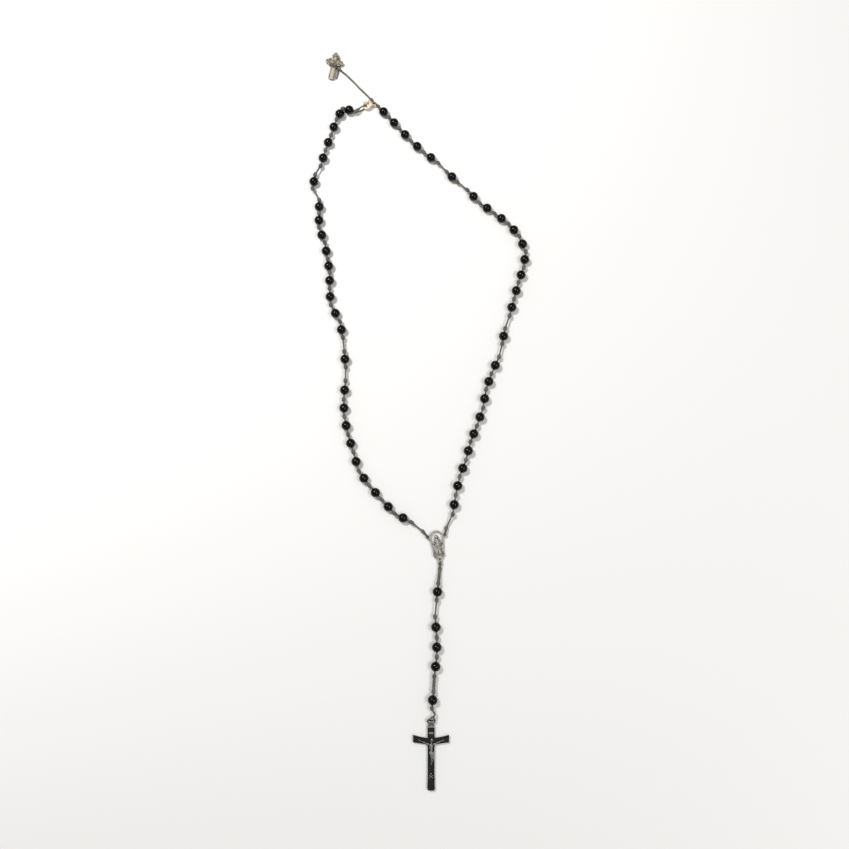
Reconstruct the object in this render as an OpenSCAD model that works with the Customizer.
// Knotted-cord rosary laid flat: a loop of beads closed by a lobster claw, a centre medal,
// a five-bead pendant with a crucifix, and a short tail of cord with a small budded cross.
// +Z is up, the resting surface is z = 0, +Y runs from the crucifix towards the budded cross.

/* [Beads and cord] */
// Diameter of every bead
bead_d = 6; // [5.6:0.1:6.2]
// Diameter of the bore through every bead
bore_d = 1.4; // [1.4:0.05:1.7]
// Diameter of the twisted cord
cord_d = 1.2; // [0.9:0.05:1.2]
// Diameter of the thinner strand in the loops that are tied to the metal pieces
strand_d = 0.7; // [0.5:0.05:0.7]
// Diameter of a knot between two beads
knot_d = 2.7; // [2:0.1:2.8]
// Longest that a knot gets where the beads leave it room
knot_l = 3; // [1.5:0.1:3]
// Diameter of the round knot at the end of a cord
end_knot_d = 2.4; // [2:0.1:2.6]

/* [Centre medal] */
// Outer radius of the open ring round the figure's head
medal_ring_r = 4.4; // [4.2:0.1:4.6]
// Width of the ring's rim and of the two side struts
medal_rim_w = 0.9; // [0.7:0.1:1]
// Thickness of the medal's frame
medal_t = 1.8; // [1.6:0.1:1.8]
// Distance from the ring's centre down to the bottom lug's centre
medal_drop = 15.8; // [15.6:0.1:16]
// Lean of the medal's foot to the right
medal_turn = 8; // [7:0.5:9]

/* [Crucifix] */
// Width of the crucifix's upright
upright_w = 4.2; // [4:0.1:4.4]
// Span of the crossbar from tip to tip
crossbar_w = 21.6; // [20.8:0.1:22]
// Length of the upright below the crossing
upright_below = 28; // [27:0.1:28.2]
// Length of the upright above the crossing, up to the bail
upright_above = 8.2; // [8:0.1:8.4]
// Thickness of the cross without its raised border
cross_t = 1.6; // [1.4:0.1:1.6]
// Height and width of the raised border
border = 0.35; // [0.25:0.05:0.45]

/* [Clasp] */
// Outer radius of the claw's hook
hook_r = 3; // [2.9:0.05:3.1]
// Inner radius of the claw's hook
hook_in_r = 1.8; // [1.8:0.05:1.9]
// Distance between the centres of the hook and of the eye
claw_reach = 5.2; // [5.1:0.05:5.4]
// Thickness of the claw's body
claw_t = 2.2; // [2.1:0.05:2.3]

/* [Budded cross] */
// Span of the crossbar of the small cross, over its buds
charm_w = 12; // [11.5:0.1:12.5]
// Height of the small cross, over its bud and its foot
charm_h = 19; // [18.5:0.1:19.5]
// Thickness of the small cross
charm_t = 1.6; // [1.4:0.1:1.6]

/* [Hidden] */

$fn = 48;
bead_r = bead_d / 2;
cord_r = cord_d / 2;
// Clearance between two bodies that turn against each other
gap = 0.1;
// Height of the eyes and of the end knots at the medal
eye_z = 1.4;
// Height of the clasp's middle
clasp_z = 2;
// Thickness of the metal of an eye
eye_t = 0.8;

// Each route lists the knots of one strand in order: a bead sits half-way between two knots.
// Left strand, from the clasp's link down to the medal
left_route = [[-41.5, 195], [-50, 197], [-54, 189.5], [-57.5, 178.5], [-61, 168], [-64, 157],
    [-67.5, 151], [-69, 141.5],
    [-64.5, 133.5], [-64.5, 124.5], [-64.5, 115], [-60.5, 104.5], [-58.5, 93.5],
    [-57, 84.5], [-57, 74], [-56, 63], [-50, 52], [-48, 41.5],
    [-47, 32.5], [-46, 22.5],
    [-46, 13.5], [-47, 1.5], [-46.5, -9.5], [-44, -21], [-40.5, -32],
    [-37, -44], [-30.5, -53], [-22.5, -62], [-14.5, -70.5], [-4, -76], [3, -81.5]];
// Right strand, from the clasp's eye down to the medal
right_route = [[-26.5, 198.5], [-19.5, 191], [-12.5, 183], [-5, 174.5], [3.5, 166.5], [13, 159],
    [18.5, 153], [25.5, 146],
    [32, 140.5], [40, 131.5], [49.5, 124.5], [58.5, 117.5], [65.5, 109],
    [69.5, 98.5], [68, 88], [64.5, 78], [61.5, 67], [58.5, 56],
    [55.5, 47.5], [53.5, 37.5],
    [51.5, 29], [46.5, 18], [43, 8], [41, -4], [37, -15.5],
    [33, -25.5], [30, -37], [26, -47.5], [23.5, -59], [21.5, -71], [17.5, -79.5]];
// Pendant, from the medal's bottom lug down to the crucifix
pendant_route = [[13.5, -104.5], [12.5, -113.5], [11.5, -123.5], [10.5, -133.5], [11.5, -146],
    [11.5, -157.5], [10, -169], [9.5, -178], [8.5, -188]];
// Tail, from the clasp's eye up to the knot at the small cross
tail_route = [[-31, 203.5], [-33.5, 206.5], [-36.5, 209.5], [-39.5, 212.5],
    [-42.5, 216], [-45.5, 219], [-48.5, 222], [-51.5, 224.5]];

// A strand lies on its beads at z = bead_r, and comes down to its fitting at one or both ends
function lifted(flat, first_z, last_z) =
    [for (i = [0:len(flat) - 1])
        [flat[i].x, flat[i].y, i == 0 ? first_z : i == len(flat) - 1 ? last_z : bead_r]];
left_path = lifted(left_route, bead_r, eye_z);
right_path = lifted(right_route, bead_r, eye_z);
pendant_path = lifted(pendant_route, eye_z, bead_r);
tail_path = [for (i = [0:len(tail_route) - 1])
    [tail_route[i].x, tail_route[i].y, i == 0 ? clasp_z - 2 * gap : eye_z]];

function unit(v) = v / norm(v);
function middle(a, b) = (a + b) / 2;
function short_of(a, b, distance) = b - unit(b - a) * distance;
// The path with its last point drawn back, so that the cord stops at the face of an end knot
function drawn_back(path, distance) =
    [for (i = [0:len(path) - 1])
        i < len(path) - 1 ? path[i] : short_of(path[i - 1], path[i], distance)];

// A tube of eight sides with one mitred ring at each point of its path
sides = 8;
function ahead(path, i) = unit(path[min(i + 1, len(path) - 1)] - path[min(i, len(path) - 2)]);
function behind(path, i) = i == 0 ? ahead(path, 0) : unit(path[i] - path[i - 1]);
function tube_ring(path, i, r) =
    let (along = unit(ahead(path, i) + behind(path, i)),
         across = unit(cross([0, 0, 1], along)),
         over = cross(along, across),
         mitre = 1 / (along * ahead(path, i)))
    [for (k = [0:sides - 1])
        path[i] + r * (mitre * cos(360 * k / sides) * across + sin(360 * k / sides) * over)];
module tube(path, r) {
    last = len(path) - 1;
    rings = [for (i = [0:last]) each tube_ring(path, i, r)];
    walls = [for (i = [0:last - 1]) for (k = [0:sides - 1])
        let (a = i * sides + k, b = i * sides + (k + 1) % sides)
        each [[a, b, a + sides], [b, b + sides, a + sides]]];
    first_cap = [for (k = [0:sides - 1]) sides - 1 - k];
    last_cap = [for (k = [0:sides - 1]) last * sides + k];
    polyhedron(points = rings, faces = concat([first_cap], walls, [last_cap]), convexity = 4);
}

// Turns the child's +Z to point along v
module aim(v) {
    rotate([0, acos(v.z / norm(v)), atan2(v.y, v.x)]) children();
}

// Beads and knots

module bead() {
    difference() {
        sphere(r = bead_r);
        cylinder(r = bore_d / 2, h = bead_d + 1, center = true);
    }
}
// One bead threaded half-way between two knots
module bead_between(path, i) {
    translate(middle(path[i], path[i + 1])) aim(path[i + 1] - path[i]) bead();
}
module beads(path, first, count) {
    for (i = [first:first + count - 1]) bead_between(path, i);
}
// A wound knot: a barrel with tapered ends, no longer than its two beads leave room for
function room(path, i) = (norm(path[i + 1] - path[i]) - bead_d) / 2 - gap;
function knot_length(path, i) =
    min(knot_l, 2 * min(room(path, max(i - 1, 0)), room(path, min(i, len(path) - 2))));
module knot(length) {
    rotate_extrude() polygon([[0, -length / 2], [0.33 * knot_d, -length / 2], [knot_d / 2, -length / 5],
        [knot_d / 2, length / 5], [0.33 * knot_d, length / 2], [0, length / 2]]);
}
module knots(path, first, last) {
    for (i = [first:last]) {
        along = ahead(path, i) + behind(path, i);
        translate(path[i]) aim(along) knot(knot_length(path, i));
    }
}
module end_knot() {
    sphere(d = end_knot_d);
}
// A closed loop of thin strand in the plane of +X and +Z, from x = 0 to x = length
module strand_loop(length, width) {
    end_r = (width - strand_d) / 2;
    half_d = width / 2;
    for (x = [half_d, length - half_d])
        translate([x, 0, 0]) rotate([90, x == half_d ? -90 : 90, 0])
            rotate_extrude(angle = 180) translate([end_r, 0]) circle(d = strand_d, $fn = 24);
    for (z = [-end_r, end_r])
        translate([half_d, 0, z]) rotate([0, 90, 0])
            cylinder(d = strand_d, h = length - width, $fn = 24);
}
// A tie: an end knot at one point and a strand loop from there through an eye
module tie(knot_at, eye_at, width, roll = 0) {
    reach = norm(eye_at - knot_at) + strand_d / 2;
    translate(knot_at) {
        end_knot();
        aim(eye_at - knot_at) rotate([0, -90, 0]) rotate([roll, 0, 0]) strand_loop(reach, width);
    }
}
tie_w = eye_t + 2 * strand_d + 0.5;

module left_cord() {
    color("dimgray") tube(drawn_back(left_path, end_knot_d / 2 + gap), cord_r);
}
module right_cord() {
    color("dimgray") tube(drawn_back(right_path, end_knot_d / 2 + gap), cord_r);
}
module left_knots() {
    color("gray") knots(left_path, 1, len(left_path) - 2);
}
module right_knots() {
    color("gray") knots(right_path, 1, len(right_path) - 2);
}
// The knots of one side are numbered from the clasp: five beads, one, nine, one, nine
top_first = 0;
upper_single = 6;
middle_first = 8;
lower_single = 18;
bottom_first = 20;
module decade_left_top() {
    color("black") beads(left_path, top_first, 5);
}
module decade_left_middle() {
    color("black") beads(left_path, middle_first, 9);
}
module decade_left_bottom() {
    color("black") beads(left_path, bottom_first, 9);
}
module decade_right_top() {
    color("black") beads(right_path, top_first, 5);
}
module decade_right_middle() {
    color("black") beads(right_path, middle_first, 9);
}
module decade_right_bottom() {
    color("black") beads(right_path, bottom_first, 9);
}
module our_father_left_upper() {
    color("black") beads(left_path, upper_single, 1);
}
module our_father_left_lower() {
    color("black") beads(left_path, lower_single, 1);
}
module our_father_right_upper() {
    color("black") beads(right_path, upper_single, 1);
}
module our_father_right_lower() {
    color("black") beads(right_path, lower_single, 1);
}

// Clasp: the claw's frame has its eye at the origin and its hook on the -X side

clasp_eye = [-29, 201, clasp_z];
claw_turn = 12;
hook_wall = (hook_r + hook_in_r) / 2;
// The lever's free end is an arc round its own pivot, so that it swings inwards past the hook's tip
lever_reach = 3;
lever_slot_to = 82;
pivot_angle = 40;
pivot = [hook_wall * cos(pivot_angle), hook_wall * sin(pivot_angle)];
rivet_r = 0.3;
tongue_t = 1;
eye_r = 1.5;
eye_bore_r = 0.95;
module in_clasp() {
    translate(clasp_eye) rotate([0, 0, claw_turn]) children();
}
module at_hook() {
    translate([-claw_reach, 0, 0]) children();
}
// A pie slice with its tip at the origin, between two angles
module slice(from, to, r, h) {
    middle_angle = (from + to) / 2;
    linear_extrude(h, center = true) polygon([[0, 0], for (a = [from, (from + middle_angle) / 2, middle_angle,
        (middle_angle + to) / 2, to]) 2 * r * [cos(a), sin(a)]]);
}
module hook_ring(h) {
    difference() {
        cylinder(r = hook_r, h = h, center = true);
        cylinder(r = hook_in_r, h = h + 1, center = true);
    }
}
module clasp_claw() {
    hook_t = 1.4;
    color("bisque") in_clasp() {
        difference() {
            union() {
                at_hook() hook_ring(hook_t);
                at_hook() intersection() {
                    hook_ring(claw_t);
                    slice(-75, 75, hook_r, claw_t);
                }
                linear_extrude(claw_t, center = true)
                    polygon([[-claw_reach + 2.3, -1.9], [-0.8, -0.9], [-0.8, 0.9], [-claw_reach + 2.3, 1.9]]);
                cylinder(r = eye_r, h = eye_t, center = true);
            }
            cylinder(r = eye_bore_r, h = claw_t + 1, center = true);
            translate([0, 0, (eye_t + claw_t) / 2]) cylinder(r = eye_r, h = claw_t, center = true);
            translate([0, 0, -(eye_t + claw_t) / 2]) cylinder(r = eye_r, h = claw_t, center = true);
            at_hook() intersection() {
                slice(68, 172, hook_r, claw_t + 1);
                translate(pivot) cylinder(r = lever_reach + gap, h = claw_t + 1, center = true);
            }
            at_hook() slice(20, lever_slot_to, hook_r, tongue_t + 2 * gap);
            at_hook() translate(pivot) cylinder(r = rivet_r, h = claw_t + 1, center = true);
        }
    }
}
module clasp_lever() {
    lever_in_r = hook_in_r + 0.15;
    lever_out_r = hook_r - 0.1;
    color("wheat") in_clasp() at_hook() difference() {
        union() {
            intersection() {
                difference() {
                    cylinder(r = lever_out_r, h = tongue_t, center = true);
                    cylinder(r = lever_in_r, h = claw_t, center = true);
                }
                slice(pivot_angle, 172, hook_r, tongue_t);
                translate(pivot) cylinder(r = lever_reach, h = tongue_t, center = true);
            }
            translate(pivot) cylinder(r = 0.55, h = tongue_t, center = true);
        }
        translate(pivot) cylinder(r = rivet_r + 0.06, h = claw_t, center = true);
    }
}
module clasp_rivet() {
    color("tan") in_clasp() at_hook() translate(pivot) cylinder(r = rivet_r, h = claw_t, center = true);
}

// The dark link stands steeply on the floor, through the hook at one end and a tie at the other
link_wire = 0.8;
link_width = 3.7;
link_length = 7.1;
link_angle = 211;
link_lean = 20;
link_from_hook = 0.75;
link_at_angle = 238;
function in_clasp_frame(p) =
    clasp_eye + [p.x * cos(claw_turn) - p.y * sin(claw_turn), p.x * sin(claw_turn) + p.y * cos(claw_turn), 0];
hook_centre = in_clasp_frame([-claw_reach, 0]);
link_start = hook_centre + link_from_hook * [cos(link_at_angle), sin(link_at_angle), 0];
link_along = [cos(link_angle), sin(link_angle), 0];
link_tied_at = link_start + (link_length - 2 * link_wire - strand_d / 2 - gap) * link_along;
module clasp_link() {
    end_r = (link_width - link_wire) / 2;
    straight = link_length - link_width;
    color("dimgray") translate(link_start) rotate([0, 0, link_angle]) rotate([link_lean, 0, 0])
        translate([end_r, 0, 0]) {
            for (x = [0, straight]) translate([x, 0, 0]) rotate([90, x == 0 ? -90 : 90, 0])
                rotate_extrude(angle = 180) translate([end_r, 0]) circle(d = link_wire, $fn = 24);
            for (z = [-end_r, end_r]) translate([0, 0, z]) rotate([0, 90, 0])
                cylinder(d = link_wire, h = straight, $fn = 24);
        }
}
// A tie made of an end knot and one round turn of strand; turned flat or upright by spin
module ring_tie(knot_at, eye_at, spin) {
    overlap = 0.2;
    turn_r = (norm(eye_at - knot_at) + overlap) / 2;
    translate(knot_at) end_knot();
    translate(middle(eye_at, knot_at)) aim(eye_at - knot_at) rotate(spin)
        rotate_extrude() translate([turn_r, 0]) circle(d = strand_d, $fn = 24);
}
module left_link_tie() {
    color("gray") ring_tie(left_path[0], link_tied_at, [0, 90, 0]);
}
module right_clasp_tie() {
    color("gray") ring_tie(right_path[0], clasp_eye + [0.42, -0.2, 0], [90, 0, 0]);
}

// Tail and small budded cross

tail_knot = [-53, 226, eye_z];
module tail_tie() {
    color("gray") ring_tie(tail_path[0], clasp_eye + [-0.42, 0.2, 0], [90, 0, 0]);
}
module tail_cord() {
    color("dimgray") tube(drawn_back(concat(tail_path, [tail_knot]), end_knot_d / 2 + gap), cord_r);
}
charm_at = [-56, 230.5, 0.8];
charm_turn = -11;
charm_arm_w = 2.8;
bud_r = 1.5;
module in_charm() {
    translate(charm_at) rotate([0, 0, charm_turn]) children();
}
// A trefoil bud: three round lobes at the end of an arm that points along +X
module bud(reach) {
    for (lobe = [[reach - bud_r, 0], [reach - 1.9 * bud_r, 0.8 * bud_r], [reach - 1.9 * bud_r, -0.8 * bud_r]])
        translate(lobe) cylinder(r = lobe.y == 0 ? bud_r : 0.8 * bud_r, h = charm_t);
}
module charm_cross() {
    top_reach = 0.36 * charm_h;
    foot_reach = 0.64 * charm_h;
    color("silver") in_charm() {
        for (turn = [0, 90, 180]) rotate([0, 0, turn]) bud(turn == 90 ? top_reach : charm_w / 2);
        translate([-charm_w / 2 + bud_r, -charm_arm_w / 2, 0])
            cube([charm_w - 2 * bud_r, charm_arm_w, charm_t]);
        linear_extrude(charm_t) polygon([[-charm_arm_w / 2, top_reach - bud_r], [charm_arm_w / 2, top_reach - bud_r],
            [0.65 * charm_arm_w, -foot_reach + 0.4], [0.5 * charm_arm_w, -foot_reach],
            [-0.5 * charm_arm_w, -foot_reach], [-0.65 * charm_arm_w, -foot_reach + 0.4]]);
    }
}
// The cord's lashing stands round the lower arm just under the crossing, tied at a knot beside it
module charm_lashing() {
    lash_w = charm_t + 2 * strand_d + 0.2;
    color("gray") {
        translate(tail_knot) end_knot();
        translate(charm_at + [0, 0, charm_t / 2]) rotate([0, 0, charm_turn])
            translate([-charm_arm_w / 2 - strand_d - 0.3, -3, 0])
            strand_loop(charm_arm_w + 2 * strand_d + 0.9, lash_w);
    }
}
module charm_loose_end() {
    loose = [[-53.2, 224.7, 1.3], [-53.8, 221.5, 0.8], [-54.7, 219, 0.7]];
    color("dimgray") tube(loose, 0.5);
}

// Centre medal: ring centre at the origin, foot on the -Y side, back on z = 0

medal_at = [11.5, -85.3, 0];
lug_x = 5.2;
lug_y = 0.8;
lug_r = 1.35;
lug_bore_r = 0.8;
bottom_lug_r = 1.6;
bottom_lug_bore_r = 0.95;
function in_medal_frame(x, y) =
    medal_at + [x * cos(medal_turn) - y * sin(medal_turn), x * sin(medal_turn) + y * cos(medal_turn), eye_z];
module in_medal() {
    translate(medal_at) rotate([0, 0, medal_turn]) children();
}
module lug(r, bore_r) {
    translate([0, 0, eye_z - eye_t / 2]) difference() {
        cylinder(r = r, h = eye_t);
        translate([0, 0, -1]) cylinder(r = bore_r, h = eye_t + 2);
    }
}
// The flat outline of the frame: ring, two side struts that meet at the lug, and a crossbar
module medal_outline() {
    difference() {
        circle(r = medal_ring_r);
        circle(r = medal_ring_r - medal_rim_w);
    }
    for (side = [-1, 1]) mirror([side == 1 ? 1 : 0, 0])
        polygon([[-medal_ring_r + 0.1, -1.2], [-medal_ring_r + medal_rim_w + 0.1, -2.2], [-2.3, -10.6],
            [-0.2, -medal_drop + 1.2], [-1.1, -medal_drop + 0.9], [-3.2, -10.9]]);
    translate([-2.9, -11.4]) square([5.8, 0.9]);
}
module medal_frame() {
    color("silver") in_medal() {
        difference() {
            linear_extrude(medal_t) medal_outline();
            translate([0, -medal_drop, eye_z + eye_t / 2]) cylinder(r = bottom_lug_r, h = medal_t);
            translate([0, -medal_drop, eye_z - eye_t / 2 - medal_t]) cylinder(r = bottom_lug_r, h = medal_t);
        }
        for (side = [-1, 1]) translate([side * lug_x, lug_y, 0]) lug(lug_r, lug_bore_r);
        translate([0, -medal_drop, 0]) lug(bottom_lug_r, bottom_lug_bore_r);
    }
}
module medal_figure() {
    color("silver") in_medal() {
        translate([0, 0.4, 1.6]) sphere(r = 1);
        intersection() {
            translate([0, 0, 0.6]) rotate([90, 0, 0]) rotate_extrude()
                polygon([[0, -0.6], [0.7, -0.4], [1, 0.6], [2, 1.6], [2.1, 2.6], [1.7, 4.6], [1.9, 7.6], [2.1, 10.2],
                    [0, 10.2]]);
            translate([-5, -14, 0]) cube([10, 18, 2.4]);
        }
    }
}
module medal_flowers() {
    color("silver") in_medal()
        for (side = [-1, 1]) for (spot = [[2.9, -9.6], [3.2, -10.9], [2.4, -11.7]])
            translate([side * spot.x, spot.y, medal_t]) sphere(r = 0.55, $fn = 24);
}
module medal_plinth() {
    color("silver") in_medal() translate([0, -11.4, 0]) intersection() {
        cylinder(r = 1.7, h = 2);
        translate([-2, -2, 0]) cube([4, 2, 2]);
    }
}
left_lug = in_medal_frame(-lug_x, lug_y);
right_lug = in_medal_frame(lug_x, lug_y);
bottom_lug = in_medal_frame(0, -medal_drop);
module medal_left_tie() {
    color("gray") tie(left_path[len(left_path) - 1], left_lug, tie_w);
}
module medal_right_tie() {
    color("gray") tie(right_path[len(right_path) - 1], right_lug, tie_w);
}

// Pendant

module pendant_tie() {
    color("gray") tie(pendant_path[0], bottom_lug, tie_w);
}
module pendant_cord() {
    color("dimgray") tube(drawn_back(pendant_path, end_knot_d / 2 + gap), cord_r);
}
module pendant_knots() {
    color("gray") knots(pendant_path, 1, len(pendant_path) - 2);
}
module pendant_bead(i) {
    color("black") bead_between(pendant_path, i);
}
module pendant_bead_1() pendant_bead(1);
module pendant_bead_2() pendant_bead(3);
module pendant_bead_3() pendant_bead(4);
module pendant_bead_4() pendant_bead(5);
module pendant_bead_5() pendant_bead(7);

// Crucifix: the crossing at the origin, the bail on the +Y side, back on z = 0

crossing = [8, -207.6, 0];
crucifix_knot = pendant_path[len(pendant_path) - 1];
bail_r = 1.5;
bail_bore_r = 0.85;
bail_w = 3.2;
bail_y = upright_above + 3.4;
bail_at = crossing + [0, bail_y, bail_r];
module in_crucifix() {
    translate(crossing) children();
}
// Outline of the cross, drawn in by an inset: curved crossbar edges, a flared foot, a round end
function bar_middle(x) = 0.2 + 1.7 * pow(abs(x) / (crossbar_w / 2), 1.3);
function bar_half(x) = 1.8 + 0.35 * pow(2 * abs(x) / crossbar_w, 4);
function foot_half(y) = upright_w / 2 - 0.1 + 0.3 * max(0, -y - 18) / 10;
function outline(inset) =
    let (half = upright_w / 2 - inset,
         tip = crossbar_w / 2 - inset,
         steps = [0:4],
         span = tip - half,
         end_r = 1.2,
         low = -upright_below + inset)
    concat(
        [[-half, upright_above - inset], [half, upright_above - inset]],
        [for (k = steps) let (x = half + span * k / 4) [x, bar_middle(x) + bar_half(x) - inset]],
        [for (k = steps) let (x = tip - span * k / 4) [x, bar_middle(x) - bar_half(x) + inset]],
        [for (y = [-4, -10, -18, low + end_r]) [foot_half(y) - inset, y]],
        [for (a = [-30, -60, -90]) [foot_half(low) - inset - end_r * (1 - cos(a)), low + end_r * (1 + sin(a))]],
        [for (a = [-90, -60, -30]) [-foot_half(low) + inset + end_r * (1 - cos(a)), low + end_r * (1 + sin(a))]],
        [for (y = [low + end_r, -18, -10, -4]) [-foot_half(y) + inset, y]],
        [for (k = steps) let (x = half + span * k / 4) [-x, bar_middle(x) - bar_half(x) + inset]],
        [for (k = steps) let (x = tip - span * k / 4) [-x, bar_middle(x) + bar_half(x) - inset]]);
module crucifix_cross() {
    color([0.13, 0.13, 0.13]) in_crucifix() difference() {
        linear_extrude(cross_t + border) polygon(outline(0));
        translate([0, 0, cross_t]) linear_extrude(border + 1) polygon(outline(border));
    }
}
module crucifix_bail() {
    neck_t = 2.2;
    color("gray") in_crucifix() difference() {
        union() {
            translate([-upright_w / 2, upright_above, 0]) cube([upright_w, 1.4, neck_t]);
            translate([-bail_w / 2, upright_above + 1.4, 0]) cube([bail_w, bail_y - upright_above - 1.4, neck_t]);
            translate([-bail_w / 2, bail_y, bail_r]) rotate([0, 90, 0]) cylinder(r = bail_r, h = bail_w);
        }
        translate([-bail_w, bail_y, bail_r]) rotate([0, 90, 0]) cylinder(r = bail_bore_r, h = 2 * bail_w);
    }
}
module crucifix_tie() {
    sag = 0.34;
    color("gray") tie(crucifix_knot, bail_at + sag * unit(bail_at - crucifix_knot), bail_w + 2 * strand_d + 0.7, 90);
}
module crucifix_title() {
    color("gray") in_crucifix() translate([-1.4, 4.6, cross_t]) cube([2.8, 1.3, 0.5]);
}
// The relief figure: round limbs laid on the cross
module limb(from, to, from_r, to_r) {
    hull() {
        translate(from) sphere(r = from_r, $fn = 12);
        translate(to) sphere(r = to_r, $fn = 12);
    }
}
module crucifix_corpus() {
    neck = [0.3, -0.5, cross_t + 0.9];
    chest = [0, -2.2, cross_t + 0.9];
    hips = [0.3, -6.4, cross_t + 0.8];
    feet = [0, -12.4, cross_t + 0.5];
    color("silver") in_crucifix() {
        limb([0.4, 1, cross_t + 1], [0.4, 1.3, cross_t + 1], 0.9, 0.85);
        limb(neck, chest, 0.45, 0.9);
        limb(chest, hips, 1.2, 1);
        for (side = [-1, 1]) {
            shoulder = [side * 0.9, -1.3, cross_t + 0.8];
            elbow = [side * 3.6, -0.4, cross_t + 0.6];
            knee = [0.9 + side * 0.45, -9.4, cross_t + 1];
            limb(shoulder, elbow, 0.5, 0.42);
            limb(elbow, [side * 7, 1, cross_t + 0.4], 0.42, 0.34);
            limb(hips + [side * 0.4, 0, 0], knee, 0.6, 0.5);
            limb(knee, feet, 0.45, 0.35);
        }
    }
}
module crucifix_nails() {
    color("gray") in_crucifix()
        for (spot = [[-7, 1, 0.85], [7, 1, 0.85], [0, -12.4, 0.9]])
            translate([spot.x, spot.y, cross_t + 0.1]) cylinder(r = 0.3, h = spot.z + 0.1, $fn = 24);
}
module crucifix_relief() {
    color("gray") in_crucifix() {
        translate([0, -18.4, cross_t]) sphere(r = 0.7, $fn = 24);
        for (turn = [-35, 35]) translate([0, -20, cross_t]) rotate([0, 0, turn])
            translate([-1.2, -0.2, 0]) cube([2.4, 0.4, turn > 0 ? 0.35 : 0.3]);
    }
}

left_cord();
right_cord();
left_knots();
right_knots();
decade_left_top();
decade_left_middle();
decade_left_bottom();
decade_right_top();
decade_right_middle();
decade_right_bottom();
our_father_left_upper();
our_father_left_lower();
our_father_right_upper();
our_father_right_lower();
right_clasp_tie();
left_link_tie();
clasp_link();
clasp_claw();
clasp_lever();
clasp_rivet();
tail_tie();
tail_cord();
charm_cross();
charm_lashing();
charm_loose_end();
medal_left_tie();
medal_right_tie();
medal_frame();
medal_figure();
medal_flowers();
medal_plinth();
pendant_tie();
pendant_cord();
pendant_knots();
pendant_bead_1();
pendant_bead_2();
pendant_bead_3();
pendant_bead_4();
pendant_bead_5();
crucifix_tie();
crucifix_bail();
crucifix_cross();
crucifix_title();
crucifix_corpus();
crucifix_nails();
crucifix_relief();
